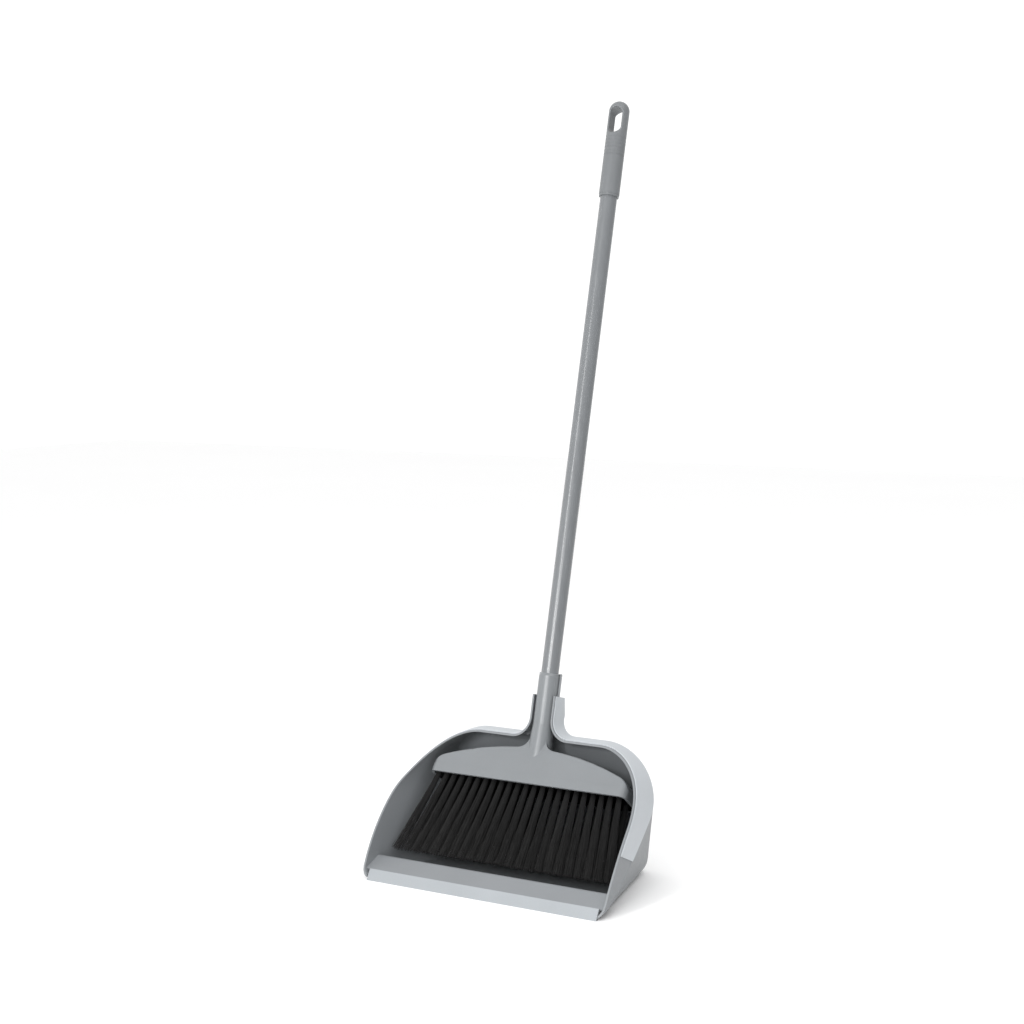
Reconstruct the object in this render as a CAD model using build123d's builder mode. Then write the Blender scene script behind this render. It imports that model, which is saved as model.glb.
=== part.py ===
import os
from math import cos, hypot, radians, sin, sqrt, tan

from build123d import *

os.makedirs("parts", exist_ok=True)

# Frame: the pole's axis meets the floor at the origin. +X is the right side of the pan,
# -Y the open front, +Z up. The pan stands on Z = 0. All lengths are in millimetres.

# Pole, sleeve and cap, measured along the pole's axis from the floor
LEAN = 14.5  # degrees that the pole leans back
TUBE_D = 21.0
TUBE_WALL = 0.6
TUBE_START = 131.0
TUBE_END = 900.0
SLEEVE_D = 25.0
SLEEVE_START = 178.0
SLEEVE_END = 238.5
SLEEVE_CHAMFER = 1.6
SPIGOT_LENGTH = 9.0
SPIGOT_WALL = 0.7
PLUG_FLANGE = 2.5
PLUG_LENGTH = 20.0
PLUG_WALL = 1.6
CAP_START = 826.0
CAP_END = 948.0
CAP_D = 25.4
CAP_FOOT_D = 24.6
CAP_FOOT = 3.0
CAP_SLOT_WIDTH = 16.0
CAP_SLOT_LENGTH = 33.0
CAP_SLOT_BELOW_TOP = 9.4
CAP_SLOT_ROUND = 1.4
RIB_COUNT = 6
RIB_PITCH = 4.5
RIB_DEPTH = 0.25
RIB_WIDTH = 1.6
RIB_BELOW_SLOT = 5.0

# Fits
SLIDE_FIT = 0.08  # radial room of the tube in its sleeve and socket
PRESS_FIT = 0.03  # radial room of pieces pushed home for good
NECK_GAP = 0.4  # room between the sleeve and the neck that grips it
BLOCK_GAP = 0.15  # room round the bristle block

# Pan
LIP_Y = -109.0
FLOOR_HALF = 158.0  # half width at the lip line, at floor height
TAPER = 11.6  # degrees that the side walls close in towards the back
DRAFT = 8.5  # degrees that the side walls open out upwards
REAR_Y = 94.0  # back wall at floor height
REAR_LEAN = 10.5  # degrees that the back wall leans forwards
ROOF_Z = 158.5
WALL = 2.2
SHOULDER_R = 62.0
EDGE_R = 18.0  # rounding round the back wall and along the bottom of the side walls
HEEL_R = 20.0  # side view rounding where the floor turns up into the back wall
FLARE_R = 22.0  # sweep of the roof up into the neck
FLARE_BACK = 14.0  # how far behind the pole's axis that sweep runs
NECK_START = 148.0
NECK_FRONT = 8.0  # how far the cheeks reach in front of the pole's axis
CHEEK_END = 212.0
CRADLE_END = 239.0
CRADLE_FRONT = -2.0
RIM_FOOT = (-107.0, 5.0)
RIM_BELLY = (-77.0, 54.5)
RIM_BREAST = (-24.0, 105.0)
FLANGE_WALL = 1.8
WING_TOE = (-108.0, 2.0)
WING_FOOT = (-77.0, 21.0)
WING_WAIST = (6.0, 86.5)
WING_CROWN = (55.0, 160.0)
WING_NAPE = (68.0, 180.0)
BAND_WALL = 1.0
BAND_SETBACK = 2.0
BAND_TOE = (-66.0, 62.5)
BAND_HEEL = (-46.0, 53.5)
BAND_BACK = 15.0  # how far behind the pole's axis the tops of the band's cheeks reach

# Ramp and lip
LIP_HALF = 150.5
LIP_END_GAP = 1.0
LIP_TOP = (-101.4, 12.0)
CREST = (-77.5, 24.0)
CREST_FOOT = (-62.0, 1.4)
RAMP_WALL = 2.2
CREST_ROUND = 5.0
LIP_EDGE = 1.6
LIP_TONGUE = 9.0
LIP_TONGUE_WALL = 1.6

# Broom head
BRISTLE_TILT = 36.5  # degrees that the bristles lean from the vertical
HEAD_STATION = 98.2
HEAD_AHEAD = 7.7
HEAD_HALF = 130.5
HEAD_DEPTH = 48.0
HEAD_CORNER_R = 8.0
HEAD_CROWN = 45.5
HEAD_ARCH_R = 331.0
HEAD_END_R = 13.0
HEAD_EDGE_R = 2.5
HEAD_WALL = 2.5
HEAD_LEDGE = 2.0
HEAD_SKIRT = 11.0
HEAD_SKIRT_PROUD = 0.6
NECK_ROOT = 130.0  # station where the round neck of the head ends, inside the head
NECK_ROOT_R = 15.5
WEB_HALF = 11.5
WEB_SWEEP_R = 13.0  # sweep from the crown up to that neck
WEB_INSET = 0.3
WEB_SINK = 0.6
WEB_DEPTH = 12.0
BOSS_WALL = 2.0
SOCKET_FLOOR = 2.5

# Bristles
BLOCK_RECESS = 1.0
BLOCK_DEPTH = 14.0
ROW_COUNT = 4
ROW_TUFTS = 23
TUFT_REACH = 121.0  # half length of a row at the block
TUFT_HOLE_R = 2.7
TUFT_HOLE_DEPTH = 9.0
BRISTLE_LENGTH = 103.0  # from the lower edge of the head to the tips of the front row
ROW_TRIM = 5.5  # how much shorter each row is than the one in front of it
STRAND_ROOT = 1.1
STRAND_TIP = 0.8
STRAND_SPREAD = 1.1
STRAND_FAN = 2.9
FRONT_SPLAY = 1.16
REAR_SPLAY = 1.06
DEPTH_SPLAY = 1.25
STAPLE_WIRE = 0.5
STAPLE_HEIGHT = 2.0
STAPLE_END_GAP = 0.2

# Values that follow from those above
LEAN_SIN = sin(radians(LEAN))
LEAN_COS = cos(radians(LEAN))
TILT_SIN = sin(radians(BRISTLE_TILT))
TILT_COS = cos(radians(BRISTLE_TILT))
TUBE_R = TUBE_D / 2
SLEEVE_R = SLEEVE_D / 2
NECK_IN = SLEEVE_R + NECK_GAP
NECK_OUT = NECK_IN + WALL
FAR = 400.0  # longer than any cut has to be


def on_pole(behind, along):
    """Side view (y, z) of a point behind the pole's axis, at a station along it."""
    return (along * LEAN_SIN + behind * LEAN_COS, along * LEAN_COS - behind * LEAN_SIN)


def between(start, end, share):
    """Point at a share of the way from start to end."""
    return (start[0] + (end[0] - start[0]) * share, start[1] + (end[1] - start[1]) * share)


POLE = Plane(origin=(0, 0, 0), x_dir=(1, 0, 0), z_dir=(0, LEAN_SIN, LEAN_COS))
POLE_SIDE = Plane(origin=(0, 0, 0), x_dir=(0, LEAN_COS, -LEAN_SIN), z_dir=(1, 0, 0))
POLE_AXIS = Axis((0, 0, 0), (0, LEAN_SIN, LEAN_COS))


# Pan


def bowl(inset):
    """Solid bowl with its neck, moved in from the pan's outer face by an inset, not yet cut open."""
    slope = tan(radians(TAPER))
    draft = tan(radians(DRAFT))
    side_shift = inset * sqrt(1 + slope**2 + draft**2)
    rear_tan = tan(radians(REAR_LEAN))
    roof = ROOF_Z - inset
    neck = NECK_OUT - inset
    front = LIP_Y - FAR / 8
    with BuildPart() as form:
        with BuildSketch(Plane.YZ):
            with BuildLine():
                rear_foot = REAR_Y - inset * sqrt(1 + rear_tan**2)
                heel = (rear_foot - rear_tan * inset, inset)
                Polyline(
                    (front, inset),
                    heel,
                    (rear_foot - rear_tan * roof, roof),
                    (front, roof),
                    close=True,
                )
            profile = make_face()
            fillet(profile.vertices().sort_by_distance((*heel, 0))[0], HEEL_R - inset)
        extrude(amount=FAR, both=True)
        for side in (1, -1):
            wall = Plane(
                origin=(side * (FLOOR_HALF - side_shift), LIP_Y, 0),
                z_dir=(-side, -slope, draft),
            )
            split(bisect_by=wall, keep=Keep.TOP)
        shoulders = form.edges().filter_by_position(Axis.Z, roof - 1, roof + 1).filter_by(
            lambda edge: abs(edge.tangent_at(0.5).X) < 0.5
        )
        fillet(shoulders, SHOULDER_R - inset)
        rear_face = form.faces().filter_by(GeomType.PLANE).sort_by(Axis.Y)[-1]
        rear_arch = rear_face.edges().sort_by(Axis.Z)[1:]
        fillet(rear_arch, EDGE_R - inset)
        with BuildSketch(POLE.offset(NECK_START)):
            Circle(neck)
            with Locations((0, -FAR / 8)):
                Rectangle(2 * neck, FAR / 4)
        extrude(amount=FAR / 4)
    flare_r = FLARE_R + inset
    with BuildPart() as flare:
        with BuildSketch(Plane.XZ):
            with BuildLine():
                Line((0, roof - WALL), (neck + flare_r, roof - WALL))
                Line((neck + flare_r, roof - WALL), (neck + flare_r, roof))
                RadiusArc((neck + flare_r, roof), (neck, roof + flare_r), flare_r)
                Line((neck, roof + flare_r), (0, roof + flare_r))
                mirror(about=Plane.YZ)
            make_face()
        extrude(amount=FAR / 2, both=True)
        with BuildSketch(Plane.YZ):
            with BuildLine():
                back = FLARE_BACK - inset
                Polyline(
                    (front, 0),
                    on_pole(back, 0),
                    on_pole(back, FAR),
                    (front, FAR),
                    close=True,
                )
            make_face()
        extrude(amount=FAR, both=True, mode=Mode.INTERSECT)
    with BuildPart() as whole:
        add(form.part)
        add(flare.part)
    return whole.part


def mouth():
    """Side view of everything in front of the rim and above the neck."""
    rim_top = on_pole(-NECK_FRONT, ROOF_Z)
    far_front = LIP_Y - FAR / 4
    with BuildSketch(Plane.YZ) as region:
        with BuildLine():
            rim_foot = (RIM_FOOT[0], -WALL)
            Line((far_front, -WALL), rim_foot)
            Line(rim_foot, RIM_FOOT)
            lower_rim = ThreePointArc(RIM_FOOT, RIM_BELLY, RIM_BREAST)
            TangentArc(RIM_BREAST, rim_top, tangent=lower_rim % 1)
            Polyline(
                rim_top,
                on_pole(-NECK_FRONT, CHEEK_END),
                on_pole(-CRADLE_FRONT, CHEEK_END),
                on_pole(-CRADLE_FRONT, CRADLE_END),
                on_pole(FAR / 4, CRADLE_END),
                (FAR / 2, FAR),
                (far_front, FAR),
                (far_front, -WALL),
            )
        make_face()
    return region.sketch


def below(toe, heel):
    """Side view of everything below the line through toe and heel."""
    front = between(toe, heel, -4)
    back = between(toe, heel, 5)
    with BuildSketch(Plane.YZ) as region:
        with BuildLine():
            Polyline(front, back, (back[0], -FAR), (front[0], -FAR), close=True)
        make_face()
    return region.sketch


def behind_wing():
    """Side view of everything below, behind and above the wing that runs round the pan's rim."""
    with BuildSketch(Plane.YZ) as region:
        with BuildLine():
            Line(WING_TOE, WING_FOOT)
            wing_back = Line(WING_FOOT, WING_WAIST)
            TangentArc(WING_WAIST, WING_CROWN, tangent=wing_back % 1)
            Polyline(
                WING_CROWN,
                WING_NAPE,
                on_pole(BAND_BACK, CHEEK_END),
                on_pole(-NECK_FRONT - BAND_BACK, CHEEK_END),
                (LIP_Y, FAR),
                (FAR, FAR),
                (FAR, -FAR),
                (WING_TOE[0], -FAR),
                WING_TOE,
            )
        make_face()
    return region.sketch


def rim_plug(inset, setback):
    """The pan's mouth pushed straight back, from a setback behind the rim."""
    with BuildPart() as cut_bowl:
        add(bowl(inset))
        extrude(MOUTH, amount=FAR, both=True, mode=Mode.SUBTRACT)
    mouth_faces = [
        face
        for face in cut_bowl.faces()
        if abs(face.normal_at(face.center()).X) < 0.01 and face.normal_at(face.center()).Y < -0.05
    ]
    with BuildPart() as plug:
        for face in mouth_faces:
            extrude(face.moved(Pos(0, setback, 0)), amount=FAR / 4, dir=(0, 1, 0))
    return plug.part


MOUTH = mouth()
BEHIND_WING = behind_wing()
OUTER_BOWL = bowl(0)
INNER_BOWL = bowl(WALL)
WALL_MIDDLE = bowl(WALL / 2)
RIM_PLUG = rim_plug(0, 0)
FLANGE_CORE = rim_plug(FLANGE_WALL, -WALL)
BAND_PLUG = rim_plug(-BAND_WALL, BAND_SETBACK)
BAND_CORE = rim_plug(0, -WALL)

with BuildPart() as flange:
    add(RIM_PLUG)
    extrude(BEHIND_WING, amount=FAR, both=True, mode=Mode.SUBTRACT)
    add(FLANGE_CORE, mode=Mode.SUBTRACT)
    split(bisect_by=Plane.XY.offset(ROOF_Z), keep=Keep.BOTTOM)

with BuildPart() as ramp:
    with BuildSketch(Plane.YZ):
        with BuildLine():
            surface = FilletPolyline(LIP_TOP, CREST, CREST_FOOT, radius=CREST_ROUND)
            offset(surface, amount=RAMP_WALL, side=Side.RIGHT)
        make_face()
    extrude(amount=FAR, both=True)
    add(WALL_MIDDLE, mode=Mode.INTERSECT)

with BuildPart() as pan_tub:
    add(OUTER_BOWL)
    add(INNER_BOWL, mode=Mode.SUBTRACT)
    extrude(MOUTH, amount=FAR, both=True, mode=Mode.SUBTRACT)
    add(flange.part)
    with BuildSketch(Plane.YZ):
        with BuildLine():
            floor_end = CREST_FOOT[0] - RAMP_WALL / 2
            Polyline(
                (LIP_Y - FAR / 4, -WALL),
                (floor_end, -WALL),
                (floor_end, 2 * WALL),
                (CREST[0], CREST[1] - 2 * RAMP_WALL),
                LIP_TOP,
                (LIP_Y - FAR / 4, LIP_TOP[1]),
                close=True,
            )
        make_face()
    extrude(amount=LIP_HALF + LIP_END_GAP, both=True, mode=Mode.SUBTRACT)
    add(ramp.part)
pan_tub.part.label = "pan_tub"
export_step(pan_tub.part, "parts/pan_tub.step")

with BuildPart() as band:
    add(BAND_PLUG)
    extrude(BEHIND_WING, amount=FAR, both=True, mode=Mode.SUBTRACT)
    extrude(below(BAND_TOE, BAND_HEEL), amount=FAR, both=True, mode=Mode.SUBTRACT)
    add(BAND_CORE, mode=Mode.SUBTRACT)

for side, name in ((Keep.TOP, "rim_band_right"), (Keep.BOTTOM, "rim_band_left")):
    with BuildPart() as half_band:
        add(band.part)
        split(bisect_by=Plane.YZ, keep=side)
    half_band.part.label = name
    export_step(half_band.part, f"parts/{name}.step")

with BuildPart() as sweep_lip:
    with BuildSketch(Plane.YZ):
        with BuildLine():
            ramp_length = hypot(CREST[0] - LIP_TOP[0], CREST[1] - LIP_TOP[1])
            run = ((CREST[0] - LIP_TOP[0]) / ramp_length, (CREST[1] - LIP_TOP[1]) / ramp_length)
            under = (LIP_TOP[0] + RAMP_WALL * run[1], LIP_TOP[1] - RAMP_WALL * run[0])
            lower = (under[0] + LIP_TONGUE_WALL * run[1], under[1] - LIP_TONGUE_WALL * run[0])
            Polyline(
                (LIP_Y, 0),
                LIP_TOP,
                under,
                (under[0] + LIP_TONGUE * run[0], under[1] + LIP_TONGUE * run[1]),
                (lower[0] + LIP_TONGUE * run[0], lower[1] + LIP_TONGUE * run[1]),
                (lower[0] + LIP_TONGUE_WALL * run[0], lower[1] + LIP_TONGUE_WALL * run[1]),
                (LIP_Y + LIP_EDGE, 0),
                close=True,
            )
        make_face()
    extrude(amount=LIP_HALF, both=True)
sweep_lip.part.label = "sweep_lip"
export_step(sweep_lip.part, "parts/sweep_lip.step")


# Pole, sleeve, plug and cap, all turned about the pole's axis

BORE_R = TUBE_R + SLIDE_FIT
SPIGOT_R = BORE_R + SPIGOT_WALL

with BuildPart() as socket_sleeve:
    with BuildSketch(POLE_SIDE):
        with BuildLine():
            Polyline(
                (BORE_R, SLEEVE_START - SPIGOT_LENGTH),
                (SPIGOT_R, SLEEVE_START - SPIGOT_LENGTH),
                (SPIGOT_R, SLEEVE_START),
                (SLEEVE_R, SLEEVE_START),
                (SLEEVE_R, SLEEVE_END - 2 * SLEEVE_CHAMFER),
                (SLEEVE_R - SLEEVE_CHAMFER, SLEEVE_END),
                (BORE_R, SLEEVE_END),
                close=True,
            )
        make_face()
    revolve(axis=POLE_AXIS)
socket_sleeve.part.label = "socket_sleeve"
export_step(socket_sleeve.part, "parts/socket_sleeve.step")

with BuildPart() as pole_tube:
    with BuildSketch(POLE.offset(TUBE_START)):
        Circle(TUBE_R)
        Circle(TUBE_R - TUBE_WALL, mode=Mode.SUBTRACT)
    extrude(amount=TUBE_END - TUBE_START)
pole_tube.part.label = "pole_tube"
export_step(pole_tube.part, "parts/pole_tube.step")

with BuildPart() as tube_plug:
    stem_r = TUBE_R - TUBE_WALL - PRESS_FIT
    with BuildSketch(POLE_SIDE):
        with BuildLine():
            Polyline(
                (0, TUBE_START - PLUG_FLANGE),
                (TUBE_R, TUBE_START - PLUG_FLANGE),
                (TUBE_R, TUBE_START),
                (stem_r, TUBE_START),
                (stem_r, TUBE_START + PLUG_LENGTH),
                (stem_r - PLUG_WALL, TUBE_START + PLUG_LENGTH),
                (stem_r - PLUG_WALL, TUBE_START + PLUG_WALL),
                (0, TUBE_START + PLUG_WALL),
                close=True,
            )
        make_face()
    revolve(axis=POLE_AXIS)
tube_plug.part.label = "tube_plug"
export_step(tube_plug.part, "parts/tube_plug.step")

with BuildPart() as hanging_cap:
    cap_r = CAP_D / 2
    foot_r = CAP_FOOT_D / 2
    grip_r = TUBE_R + PRESS_FIT
    slot_end = CAP_END - CAP_SLOT_BELOW_TOP - CAP_SLOT_LENGTH
    with BuildSketch(POLE_SIDE):
        with BuildLine():
            Polyline(
                (0, CAP_END),
                (0, TUBE_END),
                (grip_r, TUBE_END),
                (grip_r, CAP_START),
                (foot_r, CAP_START),
                (foot_r, CAP_START + CAP_FOOT),
                (cap_r, CAP_START + CAP_FOOT),
                (cap_r, CAP_END - cap_r),
            )
            RadiusArc((cap_r, CAP_END - cap_r), (0, CAP_END), -cap_r)
        make_face()
        for rib in range(RIB_COUNT):
            with Locations((cap_r, slot_end - RIB_BELOW_SLOT - rib * RIB_PITCH)):
                Rectangle(2 * RIB_DEPTH, RIB_WIDTH, mode=Mode.SUBTRACT)
    revolve(axis=POLE_AXIS)
    slot_plane = Plane(
        origin=(0, *on_pole(0, slot_end + CAP_SLOT_LENGTH / 2)),
        x_dir=(0, LEAN_SIN, LEAN_COS),
        z_dir=(0, LEAN_COS, -LEAN_SIN),
    )
    with BuildSketch(slot_plane):
        SlotOverall(CAP_SLOT_LENGTH, CAP_SLOT_WIDTH)
    extrude(amount=CAP_D, both=True, mode=Mode.SUBTRACT)
    slot_rims = hanging_cap.edges(Select.LAST).filter_by(
        lambda edge: abs(edge.tangent_at(0.5).dot(slot_plane.z_dir)) < 0.95
    )
    fillet(slot_rims, CAP_SLOT_ROUND)
hanging_cap.part.label = "hanging_cap"
export_step(hanging_cap.part, "parts/hanging_cap.step")


# Broom head

HEAD_ORIGIN = on_pole(-HEAD_AHEAD, HEAD_STATION)
HEAD_LOOK = Plane(origin=(0, *HEAD_ORIGIN), x_dir=(1, 0, 0), z_dir=(0, -TILT_COS, TILT_SIN))
HEAD_FLOOR = Plane(origin=(0, *HEAD_ORIGIN), x_dir=(1, 0, 0), z_dir=(0, TILT_SIN, TILT_COS))


def head_form(inset, start, height):
    """The arched head moved in by an inset, between two heights over its lower edge."""
    half = HEAD_HALF - inset
    arch_r = HEAD_ARCH_R - inset
    crown = HEAD_CROWN - inset
    shoulder = HEAD_HALF - HEAD_END_R
    shoulder_height = crown - arch_r + sqrt(arch_r**2 - shoulder**2)
    end_height = shoulder_height - HEAD_END_R
    with BuildPart() as form:
        with BuildSketch(HEAD_LOOK):
            with BuildLine():
                Polyline((half, end_height), (half, -HEAD_CROWN), (-half, -HEAD_CROWN), (-half, end_height))
                arch = ThreePointArc((-shoulder, shoulder_height), (0, crown), (shoulder, shoulder_height))
                TangentArc((shoulder, shoulder_height), (half, end_height), tangent=arch % 1)
                TangentArc((-shoulder, shoulder_height), (-half, end_height), tangent=-(arch % 0))
            make_face()
        extrude(amount=FAR / 4, both=True)
        with BuildSketch(HEAD_FLOOR.offset(start)):
            RectangleRounded(2 * half, HEAD_DEPTH - 2 * inset, HEAD_CORNER_R - inset)
        extrude(amount=height - start, mode=Mode.INTERSECT)
    return form.part


OUTER_HEAD = head_form(0, 0, 2 * HEAD_CROWN)
SKIRT = head_form(-HEAD_SKIRT_PROUD, 0, HEAD_SKIRT)
BLOCK_TOP = BLOCK_RECESS + BLOCK_DEPTH
POCKET = head_form(HEAD_WALL, -BLOCK_RECESS, BLOCK_TOP)
UPPER_CAVITY = head_form(HEAD_WALL + HEAD_LEDGE, BLOCK_TOP, 2 * HEAD_CROWN)
BLOCK = head_form(HEAD_WALL + BLOCK_GAP, BLOCK_RECESS, BLOCK_TOP)
SOCKET_START = TUBE_START - PLUG_FLANGE

with BuildPart() as hollow:
    add(UPPER_CAVITY)
    with BuildSketch(POLE.offset(SOCKET_START - SOCKET_FLOOR)):
        Circle(BORE_R + BOSS_WALL)
    extrude(amount=FAR, mode=Mode.SUBTRACT)

with BuildPart() as web:
    with BuildSketch(HEAD_LOOK.offset(HEAD_DEPTH / 2 - WEB_INSET)):
        with BuildLine():
            web_foot = WEB_HALF + WEB_SWEEP_R
            crown = HEAD_CROWN - HEAD_ARCH_R + sqrt(HEAD_ARCH_R**2 - web_foot**2) - WEB_SINK
            web_top = crown + WEB_SWEEP_R
            Polyline((0, HEAD_CROWN / 2), (web_foot, HEAD_CROWN / 2), (web_foot, crown))
            RadiusArc((web_foot, crown), (WEB_HALF, web_top), WEB_SWEEP_R)
            Line((WEB_HALF, web_top), (0, web_top))
            mirror(about=Plane.YZ)
        make_face()
    extrude(amount=-WEB_DEPTH)

with BuildPart() as neck_root:
    with BuildSketch(POLE.offset(NECK_ROOT)):
        with Locations((0, SLEEVE_R - NECK_ROOT_R)):
            Circle(NECK_ROOT_R)
    with BuildSketch(POLE.offset(SLEEVE_START)):
        Circle(SLEEVE_R)
    loft()

with BuildPart() as head_cover:
    add(OUTER_HEAD)
    crown_rim = head_cover.edges().filter_by(
        lambda edge: HEAD_LOOK.to_local_coords(edge.center()).Y > HEAD_EDGE_R / 2
        and abs(edge.tangent_at(0.5).dot(HEAD_LOOK.y_dir)) < 0.95
        and abs(abs(edge.center().X) - HEAD_HALF + HEAD_END_R) > 1
    )
    fillet(crown_rim, HEAD_EDGE_R)
    add(SKIRT)
    with BuildSketch(POLE.offset(SOCKET_START - SOCKET_FLOOR)):
        Circle(SLEEVE_R)
    extrude(amount=NECK_ROOT + SOCKET_FLOOR - SOCKET_START)
    add(neck_root.part)
    add(web.part)
    add(POCKET, mode=Mode.SUBTRACT)
    add(hollow.part, mode=Mode.SUBTRACT)
    with BuildSketch(POLE.offset(SOCKET_START)):
        Circle(BORE_R)
    extrude(amount=FAR, mode=Mode.SUBTRACT)
    with BuildSketch(POLE.offset(SLEEVE_START - SPIGOT_LENGTH)):
        Circle(SPIGOT_R + PRESS_FIT)
    extrude(amount=FAR, mode=Mode.SUBTRACT)
head_cover.part.label = "head_cover"
export_step(head_cover.part, "parts/head_cover.step")


# Bristles

BRISTLES = HEAD_FLOOR.offset(BLOCK_RECESS)
ROW_DEPTH = (HEAD_DEPTH - 2 * HEAD_WALL - 2 * BLOCK_GAP) / ROW_COUNT
TUFT_PITCH = 2 * TUFT_REACH / (ROW_TUFTS - 1)


def tufts(row):
    """Places of a row's tufts on the block's lower face; every second row stands between its neighbours."""
    count = ROW_TUFTS - row % 2
    depth = (row - (ROW_COUNT - 1) / 2) * ROW_DEPTH
    return [((place - (count - 1) / 2) * TUFT_PITCH, depth) for place in range(count)]


def strand(tuft, corner, row):
    """One tapered strand, from inside the block to its tip."""
    along_row = between((FRONT_SPLAY, 0), (REAR_SPLAY, 0), row / (ROW_COUNT - 1))[0]
    root = (tuft[0] + corner[0] * STRAND_SPREAD, tuft[1] + corner[1] * STRAND_SPREAD)
    tip = (tuft[0] * along_row + corner[0] * STRAND_FAN, tuft[1] * DEPTH_SPLAY + corner[1] * STRAND_FAN)
    with BuildPart() as bristle:
        with BuildSketch(BRISTLES.offset(TUFT_HOLE_DEPTH + STAPLE_WIRE)):
            with Locations(root):
                Rectangle(STRAND_ROOT, STRAND_ROOT)
        with BuildSketch(BRISTLES.offset(row * ROW_TRIM - BRISTLE_LENGTH - BLOCK_RECESS)):
            with Locations(tip):
                Rectangle(STRAND_TIP, STRAND_TIP)
        loft()
    return bristle.part


for row in range(ROW_COUNT):
    strands = [strand(tuft, (x, y), row) for tuft in tufts(row) for x in (-1, 1) for y in (-1, 1)]
    with BuildPart() as tuft_row:
        add(BLOCK)
        with BuildSketch(BRISTLES):
            with Locations((0, tufts(row)[0][1])):
                Rectangle(2 * HEAD_HALF, ROW_DEPTH)
        extrude(amount=FAR / 8, mode=Mode.INTERSECT)
        with BuildSketch(BRISTLES):
            with Locations(*tufts(row)):
                Circle(TUFT_HOLE_R)
        extrude(amount=TUFT_HOLE_DEPTH, mode=Mode.SUBTRACT)
        add(strands)
    name = f"tuft_row_{row + 1}"
    tuft_row.part.label = name
    export_step(tuft_row.part, f"parts/{name}.step")

with BuildPart() as tuft_staples:
    with BuildSketch(BRISTLES.offset(TUFT_HOLE_DEPTH - STAPLE_HEIGHT)):
        for row in range(ROW_COUNT):
            with Locations(*tufts(row)):
                Rectangle(2 * (TUFT_HOLE_R - STAPLE_END_GAP), STAPLE_WIRE)
    extrude(amount=STAPLE_HEIGHT)
tuft_staples.part.label = "tuft_staples"
export_step(tuft_staples.part, "parts/tuft_staples.step")
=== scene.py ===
import math

import bmesh
import bpy
import numpy as np
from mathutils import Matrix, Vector


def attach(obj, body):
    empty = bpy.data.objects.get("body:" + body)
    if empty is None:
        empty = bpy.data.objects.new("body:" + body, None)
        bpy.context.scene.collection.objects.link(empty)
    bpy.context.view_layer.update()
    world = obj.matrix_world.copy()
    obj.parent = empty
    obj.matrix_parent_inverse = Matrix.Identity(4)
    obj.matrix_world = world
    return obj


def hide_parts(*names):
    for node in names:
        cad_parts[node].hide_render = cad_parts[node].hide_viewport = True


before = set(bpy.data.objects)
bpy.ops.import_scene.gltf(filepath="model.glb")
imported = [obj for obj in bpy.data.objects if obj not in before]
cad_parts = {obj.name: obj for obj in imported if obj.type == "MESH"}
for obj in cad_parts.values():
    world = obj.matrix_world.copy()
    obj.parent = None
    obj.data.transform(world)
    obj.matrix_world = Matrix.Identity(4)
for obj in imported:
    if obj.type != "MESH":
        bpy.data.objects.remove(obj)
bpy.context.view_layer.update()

# All lengths are in metres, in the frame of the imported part:
# +Z up, -Y the open front, +X the right side.

# Pole and broom head, as in the part
LEAN = math.radians(14.5)
BRISTLE_TILT = math.radians(36.5)
HEAD_STATION = 0.0982
HEAD_AHEAD = 0.0077
HEAD_DEPTH = 0.048
HEAD_WALL = 0.0025
BLOCK_RECESS = 0.001
BLOCK_GAP = 0.00015
ROW_COUNT = 4
ROW_TUFTS = 23
TUFT_REACH = 0.121
BRISTLE_LENGTH = 0.1035
ROW_TRIM = 0.0055
FRONT_SPLAY = 1.16
REAR_SPLAY = 1.06
DEPTH_SPLAY = 1.25

# Fibres
SEED = 7
FIBRES_FRONT = 90
FIBRES_INNER = 60
FIBRE_R = 0.00027
FIBRE_TIP_SHARE = 0.45
FIBRE_STATIONS = 7
FIBRE_SIDES = 3
TUFT_ROOT_R = 0.0028
TUFT_TIP_R = 0.0061
# Painted shade: fibres on each tuft's back-right side are darkened down to this share of their tone,
# towards this side.
TUFT_PAINTED_SHADE_TONE = 0.3
TUFT_PAINTED_SHADE_SIDE = (0.6, 0.8)
FIBRE_WAVE = 0.0006
FIBRE_STRAY = 0.0012
FIBRE_TRIM = 0.0035
TRIM_SHARE = (0.2, 1.0)
STRAY_SHARE = 0.6
SPREAD_POWER = 1.15
WAVES = (1.5, 3.5)
ROOT_BURY = 0.002
TUFT_TONE = (0.8, 1.1)
FIBRE_TONE = (0.2, 1.0)
ROOT_TONE = 0.55
TIP_TONE_GAIN = 0.75
CUT_BELOW_FACE = 0.0002

# Camera, read from the photograph
CAMERA_PLACE = (1.05067, -1.84428, 0.64610)
CAMERA_TURN = 30.08
CAMERA_PITCH = 5.83
FOCAL_PIXELS = 1851.3
IMAGE_PIXELS = 1024
SENSOR = 36.0

# Surround
WORLD_STRENGTH = 1.15
WORLD_DARK_SIDE = (1.0, 0.05, 0.0)
WORLD_DARKEST = 0.42
FLOOR_HALF = 6.0
FLOOR_CELLS = 8
# name, place, target, width, height, power
LIGHTS = (
    ("strip_light", (-0.3, -1.9, 0.75), (0, 0.1, 0.45), 0.1, 1.9, 16),
    ("front_light", (0.3, -2.2, 0.93), (0, 0, 0.06), 1.2, 0.3, 16),
    ("top_light", (1.1, -0.2, 2.4), (0.3, -0.1, 0), 1.8, 1.8, 14),
)

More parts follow.
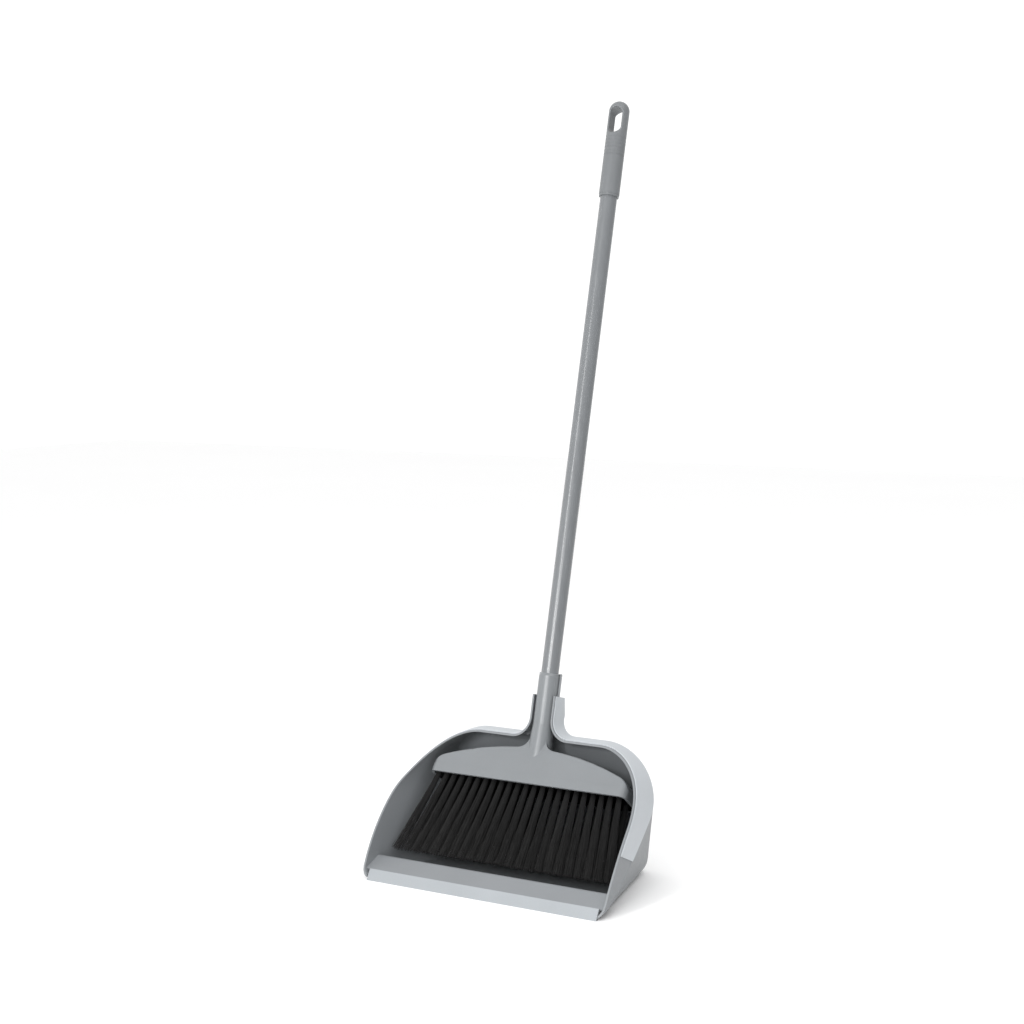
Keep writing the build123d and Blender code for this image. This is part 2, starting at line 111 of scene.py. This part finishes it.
# Surface detail: noise scales per metre, tone and gloss ranges
CLOUD_SCALE = 9.0
SPECK_SCALE = 900.0
SPECK_TONE = (0.975, 1.02)
SCUFF_STRETCH = (6.0, 70.0, 70.0)
SCUFF_SCALE = 3.0
CLOUD_TONE = (0.955, 1.04)
GRAIN_STRENGTH = 0.35
PLASTIC_IOR = 1.49
PLASTIC_COAT_ROUGHNESS = 0.25
TUBE_STRETCH = (40.0, 40.0, 3.0)
TUBE_STREAK_SCALE = 4.0
TUBE_TONE = (0.95, 1.05)
TUBE_GLOSS = (0.22, 0.28)
TUBE_COAT = 0.25
TUBE_COAT_ROUGHNESS = 0.18
PEEL_SCALE = 700.0
PEEL_STRENGTH = 0.25
PEEL_HEIGHT = 0.00006
DUST_SCALE = 160.0
DUST_TONE = (0.7, 1.2)
FIBRE_DARK = (0.0012, 0.0012, 0.0014)
FIBRE_LIGHT = (0.019, 0.0186, 0.0186)
FIBRE_GLOSS = (0.42, 0.6)
FIBRE_SPECULAR = 0.18
CRIMP_SCALE = 2500.0
CRIMP_STRENGTH = 0.3
CRIMP_HEIGHT = 0.00005
WIRE_DARK = (0.42, 0.42, 0.43)
WIRE_LIGHT = (0.62, 0.62, 0.63)
WIRE_SCALE = 800.0
WIRE_GLOSS = (0.25, 0.4)
FLOOR_DARK = (0.965, 0.965, 0.965)
FLOOR_LIGHT = (0.98, 0.98, 0.98)
FLOOR_CLOUD_SCALE = 1.5
FLOOR_ROUGHNESS = 0.8
FLOOR_SPECULAR = 0.1


# Materials


def new_material(name):
    """An empty node material with a Principled shader, and a short way to add and join its nodes."""
    material = bpy.data.materials.new(name)
    material.use_nodes = True
    tree = material.node_tree
    shader = tree.nodes["Principled BSDF"]

    def node(kind, **values):
        made = tree.nodes.new(kind)
        for key, value in values.items():
            if key in made.inputs:
                made.inputs[key].default_value = value
            else:
                setattr(made, key, value)
        return made

    return material, tree, shader, node


def noise(tree, node, place, scale, detail, roughness=0.55):
    """Noise over the object's own coordinates."""
    made = node("ShaderNodeTexNoise", Scale=scale, Detail=detail, Roughness=roughness)
    tree.links.new(place, made.inputs["Vector"])
    return made.outputs["Fac"]


def spread(tree, node, source, low, high, from_low=0.3, from_high=0.7):
    """A noise value stretched to a range."""
    made = node("ShaderNodeMapRange")
    made.inputs["From Min"].default_value = from_low
    made.inputs["From Max"].default_value = from_high
    made.inputs["To Min"].default_value = low
    made.inputs["To Max"].default_value = high
    tree.links.new(source, made.inputs["Value"])
    return made.outputs["Result"]


def two_tone(tree, node, source, dark, light):
    """A colour between two tones."""
    made = node("ShaderNodeMix", data_type="RGBA")
    made.inputs[6].default_value = (*dark, 1)
    made.inputs[7].default_value = (*light, 1)
    tree.links.new(source, made.inputs[0])
    return made.outputs[2]


def moulded(name, colour, roughness, grain_scale, grain_height, sheen=0.0, coat=0.0, uneven=0.05):
    """Moulded plastic or rubber: cloudy tone, uneven gloss, fine grain and a faint flow pattern."""
    material, tree, shader, node = new_material(name)
    place = node("ShaderNodeTexCoord").outputs["Object"]
    cloud = noise(tree, node, place, CLOUD_SCALE, 4.0)
    speck = noise(tree, node, place, SPECK_SCALE, 2.0)
    scuff_place = node("ShaderNodeMapping")
    scuff_place.inputs["Scale"].default_value = SCUFF_STRETCH
    tree.links.new(place, scuff_place.inputs["Vector"])
    scuff = noise(tree, node, scuff_place.outputs["Vector"], SCUFF_SCALE, 6.0, 0.7)
    dark = tuple(value * CLOUD_TONE[0] for value in colour)
    light = tuple(min(1.0, value * CLOUD_TONE[1]) for value in colour)
    base = two_tone(tree, node, spread(tree, node, cloud, 0.0, 1.0), dark, light)
    speckle = node("ShaderNodeMix", data_type="RGBA", blend_type="MULTIPLY")
    speckle.inputs[0].default_value = 1.0
    tree.links.new(base, speckle.inputs[6])
    tone = spread(tree, node, speck, *SPECK_TONE)
    grey = node("ShaderNodeCombineColor")
    for channel in ("Red", "Green", "Blue"):
        tree.links.new(tone, grey.inputs[channel])
    tree.links.new(grey.outputs["Color"], speckle.inputs[7])
    tree.links.new(speckle.outputs[2], shader.inputs["Base Color"])
    gloss = spread(tree, node, scuff, roughness - uneven, roughness + uneven)
    tree.links.new(gloss, shader.inputs["Roughness"])
    grain = noise(tree, node, place, grain_scale, 3.0, 0.6)
    bump = node("ShaderNodeBump", Strength=GRAIN_STRENGTH, Distance=grain_height)
    tree.links.new(grain, bump.inputs["Height"])
    tree.links.new(bump.outputs["Normal"], shader.inputs["Normal"])
    shader.inputs["IOR"].default_value = PLASTIC_IOR
    shader.inputs["Sheen Weight"].default_value = sheen
    shader.inputs["Coat Weight"].default_value = coat
    shader.inputs["Coat Roughness"].default_value = PLASTIC_COAT_ROUGHNESS
    return material


def coated_tube(name, colour):
    """Satin coating on drawn steel: fine orange peel, and gloss that wanders slightly along the tube."""
    material, tree, shader, node = new_material(name)
    place = node("ShaderNodeTexCoord").outputs["Object"]
    stretch = node("ShaderNodeMapping")
    stretch.inputs["Scale"].default_value = TUBE_STRETCH
    tree.links.new(place, stretch.inputs["Vector"])
    streak = noise(tree, node, stretch.outputs["Vector"], TUBE_STREAK_SCALE, 4.0)
    peel = noise(tree, node, place, PEEL_SCALE, 2.0)
    dark = tuple(value * TUBE_TONE[0] for value in colour)
    light = tuple(value * TUBE_TONE[1] for value in colour)
    base = two_tone(tree, node, spread(tree, node, streak, 0.0, 1.0), dark, light)
    tree.links.new(base, shader.inputs["Base Color"])
    tree.links.new(spread(tree, node, streak, *TUBE_GLOSS), shader.inputs["Roughness"])
    bump = node("ShaderNodeBump", Strength=PEEL_STRENGTH, Distance=PEEL_HEIGHT)
    tree.links.new(peel, bump.inputs["Height"])
    tree.links.new(bump.outputs["Normal"], shader.inputs["Normal"])
    shader.inputs["Coat Weight"].default_value = TUBE_COAT
    shader.inputs["Coat Roughness"].default_value = TUBE_COAT_ROUGHNESS
    return material


def fibre_black(name):
    """Black crimped fibre, a little greyer towards its split tips, no two quite alike, with painted
    shade on each tuft's back-right side.
    """
    material, tree, shader, node = new_material(name)
    # This attribute holds each fibre's own tone together with painted shade on its tuft's back-right
    # side.
    tone_and_painted_shade = node("ShaderNodeAttribute", attribute_name="tone_and_painted_shade").outputs["Fac"]
    place = node("ShaderNodeTexCoord").outputs["Object"]
    dust = noise(tree, node, place, DUST_SCALE, 3.0)
    mixed = node("ShaderNodeMath", operation="MULTIPLY")
    tree.links.new(tone_and_painted_shade, mixed.inputs[0])
    tree.links.new(spread(tree, node, dust, *DUST_TONE), mixed.inputs[1])
    base = two_tone(tree, node, mixed.outputs["Value"], FIBRE_DARK, FIBRE_LIGHT)
    tree.links.new(base, shader.inputs["Base Color"])
    tree.links.new(spread(tree, node, dust, *FIBRE_GLOSS), shader.inputs["Roughness"])
    shader.inputs["Specular IOR Level"].default_value = FIBRE_SPECULAR
    bump = node("ShaderNodeBump", Strength=CRIMP_STRENGTH, Distance=CRIMP_HEIGHT)
    tree.links.new(noise(tree, node, place, CRIMP_SCALE, 2.0), bump.inputs["Height"])
    tree.links.new(bump.outputs["Normal"], shader.inputs["Normal"])
    return material


def drawn_wire(name):
    """Bright drawn steel wire."""
    material, tree, shader, node = new_material(name)
    place = node("ShaderNodeTexCoord").outputs["Object"]
    draw = noise(tree, node, place, WIRE_SCALE, 3.0)
    base = two_tone(tree, node, spread(tree, node, draw, 0.0, 1.0), WIRE_DARK, WIRE_LIGHT)
    tree.links.new(base, shader.inputs["Base Color"])
    tree.links.new(spread(tree, node, draw, *WIRE_GLOSS), shader.inputs["Roughness"])
    shader.inputs["Metallic"].default_value = 1.0
    return material


def floor_white(name):
    """Plain pale studio floor."""
    material, tree, shader, node = new_material(name)
    place = node("ShaderNodeTexCoord").outputs["Object"]
    cloud = noise(tree, node, place, FLOOR_CLOUD_SCALE, 2.0)
    base = two_tone(tree, node, cloud, FLOOR_DARK, FLOOR_LIGHT)
    tree.links.new(base, shader.inputs["Base Color"])
    shader.inputs["Roughness"].default_value = FLOOR_ROUGHNESS
    shader.inputs["Specular IOR Level"].default_value = FLOOR_SPECULAR
    return material


PAN = moulded("pan_plastic_grey", (0.193, 0.204, 0.215), 0.42, 1400.0, 0.00006, coat=0.08)
# The rim band is the same rubber as the lip, given a lighter tone: painted light on its right-facing and
# top sides.
BAND_PAINTED_LIGHTER = moulded("band_rubber_painted_lighter", (0.45, 0.475, 0.5), 0.5, 1800.0, 0.00005, sheen=0.05)
LIP = moulded("lip_rubber_light", (0.295, 0.314, 0.331), 0.5, 1800.0, 0.00005, sheen=0.05)
HEAD = moulded("head_plastic_grey", (0.178, 0.189, 0.198), 0.3, 1400.0, 0.00006, coat=0.1, uneven=0.015)
CAP = moulded("cap_plastic_grey", (0.15, 0.158, 0.165), 0.38, 1600.0, 0.00008)
PLUG = moulded("plug_plastic_grey", (0.22, 0.23, 0.24), 0.5, 1400.0, 0.00006)
TUBE = coated_tube("tube_coating_grey", (0.146, 0.154, 0.162))
FIBRE = fibre_black("bristle_fibre_black")
WIRE = drawn_wire("staple_wire_steel")

NODE_MATERIALS = {
    "pan_tub": PAN,
    "rim_band_left": BAND_PAINTED_LIGHTER,
    "rim_band_right": BAND_PAINTED_LIGHTER,
    "sweep_lip": LIP,
    "head_cover": HEAD,
    "socket_sleeve": HEAD,
    "hanging_cap": CAP,
    "tube_plug": PLUG,
    "pole_tube": TUBE,
    "tuft_staples": WIRE,
}
for node_name, node_material in NODE_MATERIALS.items():
    node_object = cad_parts[node_name]
    for material_slot in node_object.material_slots:
        material_slot.material = node_material


# Bristles


def on_pole(behind, along):
    """Side view (y, z) of a point behind the pole's axis, at a station along it."""
    return np.array((
        along * math.sin(LEAN) + behind * math.cos(LEAN),
        along * math.cos(LEAN) - behind * math.sin(LEAN),
    ))


HEAD_ORIGIN = on_pole(-HEAD_AHEAD, HEAD_STATION)
HEAD_BACK = np.array((math.cos(BRISTLE_TILT), -math.sin(BRISTLE_TILT)))
HEAD_UP = np.array((math.sin(BRISTLE_TILT), math.cos(BRISTLE_TILT)))
BLOCK_FACE = HEAD_ORIGIN + HEAD_UP * BLOCK_RECESS
ROW_DEPTH = (HEAD_DEPTH - 2 * HEAD_WALL - 2 * BLOCK_GAP) / ROW_COUNT
TUFT_PITCH = 2 * TUFT_REACH / (ROW_TUFTS - 1)


def from_block(points):
    """Places along the row, across the head and up from the block's face, in the part's frame."""
    side_view = BLOCK_FACE + points[..., 1:2] * HEAD_BACK + points[..., 2:3] * HEAD_UP
    return np.concatenate((points[..., 0:1], side_view), axis=-1)


def tuft_fibres(rng, tuft, row, count):
    """Centre lines of one tuft's fibres, and a tone with painted shade that darkens each tuft's
    back-right side.
    """
    along_row = FRONT_SPLAY + (REAR_SPLAY - FRONT_SPLAY) * row / (ROW_COUNT - 1)
    turn = np.arange(count) * math.pi * (3 - math.sqrt(5)) + rng.uniform(0, 2 * math.pi)
    out = np.sqrt((np.arange(count) + 0.5) / count)
    disc = np.stack((np.cos(turn) * out, np.sin(turn) * out), axis=1)
    root = np.array(tuft) + disc * TUFT_ROOT_R
    tip = np.array((tuft[0] * along_row, tuft[1] * DEPTH_SPLAY)) + disc * TUFT_TIP_R
    tip = tip + rng.normal(0, FIBRE_STRAY, (count, 2)) * STRAY_SHARE
    row_length = BRISTLE_LENGTH - row * ROW_TRIM
    length = row_length - rng.uniform(0, FIBRE_TRIM, count) * rng.uniform(*TRIM_SHARE, count)
    share = np.linspace(0, 1, FIBRE_STATIONS)
    flat = root[:, None] + (tip - root)[:, None] * (share ** SPREAD_POWER)[None, :, None]
    phase = rng.uniform(0, 2 * math.pi, (count, 1, 2))
    waves = rng.uniform(*WAVES, (count, 1, 1))
    wave = np.sin(share[None, :, None] * waves * 2 * math.pi + phase)
    flat = flat + wave * FIBRE_WAVE * share[None, :, None]
    height = ROOT_BURY - (ROOT_BURY + length)[:, None] * share
    # Painted shade: darker towards the tuft's back-right side, as if the tuft were lit from the
    # front-left.
    shaded_side_share = np.clip((disc @ np.array(TUFT_PAINTED_SHADE_SIDE)) * 0.5 + 0.5, 0, 1)
    return np.concatenate((flat, height[..., None]), axis=2), 1 - (1 - TUFT_PAINTED_SHADE_TONE) * shaded_side_share


def fibre_mesh(lines, tones_with_painted_shade):
    """Tapered three-sided fibres round their centre lines, closed at both ends."""
    count, stations, _ = lines.shape
    share = np.linspace(0, 1, stations)
    radius = FIBRE_R * (1 - (1 - FIBRE_TIP_SHARE) * share ** 2)
    angle = np.arange(FIBRE_SIDES) * 2 * math.pi / FIBRE_SIDES
    ring = np.stack((np.cos(angle), np.sin(angle), np.zeros(FIBRE_SIDES)), axis=1)
    verts = lines[:, :, None, :] + ring[None, None] * radius[None, :, None, None]
    verts = from_block(verts.reshape(-1, 3))
    faces = []
    for fibre in range(count):
        first = fibre * stations * FIBRE_SIDES
        for station in range(stations - 1):
            low = first + station * FIBRE_SIDES
            high = low + FIBRE_SIDES
            for side in range(FIBRE_SIDES):
                turn = (side + 1) % FIBRE_SIDES
                faces.append((low + side, high + side, high + turn, low + turn))
        last = first + (stations - 1) * FIBRE_SIDES
        faces.append(tuple(first + side for side in range(FIBRE_SIDES)))
        faces.append(tuple(last + side for side in reversed(range(FIBRE_SIDES))))
    tone = np.repeat(tones_with_painted_shade, stations * FIBRE_SIDES).reshape(count, stations, FIBRE_SIDES)
    tone = tone * (ROOT_TONE + TIP_TONE_GAIN * share[None, :, None] ** 2)
    return verts, faces, tone.reshape(-1)


def block_slice(node):
    """The row's slice of the bristle block: its solid without what stands out below."""
    shape = bmesh.new()
    shape.from_mesh(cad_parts[node].data)
    face_point = Vector((0, *(BLOCK_FACE - HEAD_UP * CUT_BELOW_FACE)))
    face_normal = Vector((0, *HEAD_UP))
    parts = shape.verts[:] + shape.edges[:] + shape.faces[:]
    bmesh.ops.bisect_plane(
        shape, geom=parts, plane_co=face_point, plane_no=face_normal, clear_inner=True
    )
    open_edges = [edge for edge in shape.edges if edge.is_boundary]
    bmesh.ops.holes_fill(shape, edges=open_edges, sides=0)
    return shape


def bristle_row(row):
    """One row of tufts on its slice of the block, in place of the row's solid."""
    rng = np.random.default_rng(SEED + row)
    tuft_count = ROW_TUFTS - row % 2
    across = (row - (ROW_COUNT - 1) / 2) * ROW_DEPTH
    fibres = FIBRES_FRONT if row == 0 else FIBRES_INNER
    lines = []
    tones_with_painted_shade = []
    for place in range(tuft_count):
        tuft = ((place - (tuft_count - 1) / 2) * TUFT_PITCH, across)
        tuft_lines, painted_shade_tone = tuft_fibres(rng, tuft, row, fibres)
        lines.append(tuft_lines)
        # Each fibre's own random tone, times the painted shade on its tuft's back-right side.
        tones_with_painted_shade.append(rng.uniform(*TUFT_TONE) * rng.uniform(*FIBRE_TONE, fibres) * painted_shade_tone)
    verts, faces, tone = fibre_mesh(np.concatenate(lines), np.concatenate(tones_with_painted_shade))
    name = f"bristle_row_{row + 1}"
    node = f"tuft_row_{row + 1}"
    mesh = bpy.data.meshes.new(name)
    mesh.from_pydata(verts.tolist(), [], faces)
    # Per-vertex tone: the fibre's own random tone and root-to-tip grading, plus the painted shade of its
    # tuft's back-right side.
    tone_and_painted_shade = mesh.attributes.new("tone_and_painted_shade", "FLOAT", "POINT")
    tone_and_painted_shade.data.foreach_set("value", tone)
    shape = block_slice(node)
    shape.from_mesh(mesh)
    shape.to_mesh(mesh)
    shape.free()
    mesh.materials.append(FIBRE)
    piece = bpy.data.objects.new(name, mesh)
    bpy.context.scene.collection.objects.link(piece)
    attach(piece, "broom")
    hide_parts(node)


for row_number in range(ROW_COUNT):
    bristle_row(row_number)


# Stage, light and camera


def floor_plane():
    """A wide pale floor under the part."""
    shape = bmesh.new()
    bmesh.ops.create_grid(shape, x_segments=FLOOR_CELLS, y_segments=FLOOR_CELLS, size=FLOOR_HALF)
    mesh = bpy.data.meshes.new("studio_floor")
    shape.to_mesh(mesh)
    shape.free()
    mesh.materials.append(floor_white("floor_white"))
    floor = bpy.data.objects.new("studio_floor", mesh)
    bpy.context.scene.collection.objects.link(floor)


def soft_light(name, place, target, width, height, power):
    """A soft box that points at a target."""
    light = bpy.data.lights.new(name, "AREA")
    light.shape = "RECTANGLE"
    light.size = width
    light.size_y = height
    light.energy = power
    made = bpy.data.objects.new(name, light)
    made.location = place
    made.rotation_euler = (Vector(target) - Vector(place)).to_track_quat("-Z", "Y").to_euler()
    bpy.context.scene.collection.objects.link(made)


floor_plane()
for light_values in LIGHTS:
    soft_light(*light_values)


def studio_world():
    """An even white surround, a little darker towards the right and the back."""
    world = bpy.data.worlds.new("studio")
    world.use_nodes = True
    tree = world.node_tree
    background = tree.nodes["Background"]
    background.inputs["Strength"].default_value = WORLD_STRENGTH
    place = tree.nodes.new("ShaderNodeTexCoord")
    lean = tree.nodes.new("ShaderNodeVectorMath")
    lean.operation = "DOT_PRODUCT"
    lean.inputs[1].default_value = WORLD_DARK_SIDE
    tree.links.new(place.outputs["Generated"], lean.inputs[0])
    fade = tree.nodes.new("ShaderNodeMapRange")
    fade.inputs["From Min"].default_value = 0.0
    fade.inputs["From Max"].default_value = 1.0
    fade.inputs["To Min"].default_value = 1.0
    fade.inputs["To Max"].default_value = WORLD_DARKEST
    tree.links.new(lean.outputs["Value"], fade.inputs["Value"])
    tone = tree.nodes.new("ShaderNodeCombineColor")
    for channel in ("Red", "Green", "Blue"):
        tree.links.new(fade.outputs["Result"], tone.inputs[channel])
    tree.links.new(tone.outputs["Color"], background.inputs["Color"])
    bpy.context.scene.world = world


studio_world()
bpy.context.scene.view_settings.view_transform = "Standard"

camera = bpy.data.objects.new("camera", bpy.data.cameras.new("camera"))
camera.location = CAMERA_PLACE
camera.rotation_euler = (math.radians(90 - CAMERA_PITCH), 0, math.radians(CAMERA_TURN))
camera.data.sensor_width = SENSOR
camera.data.lens = FOCAL_PIXELS / IMAGE_PIXELS * SENSOR
bpy.context.scene.collection.objects.link(camera)
bpy.context.scene.camera = camera
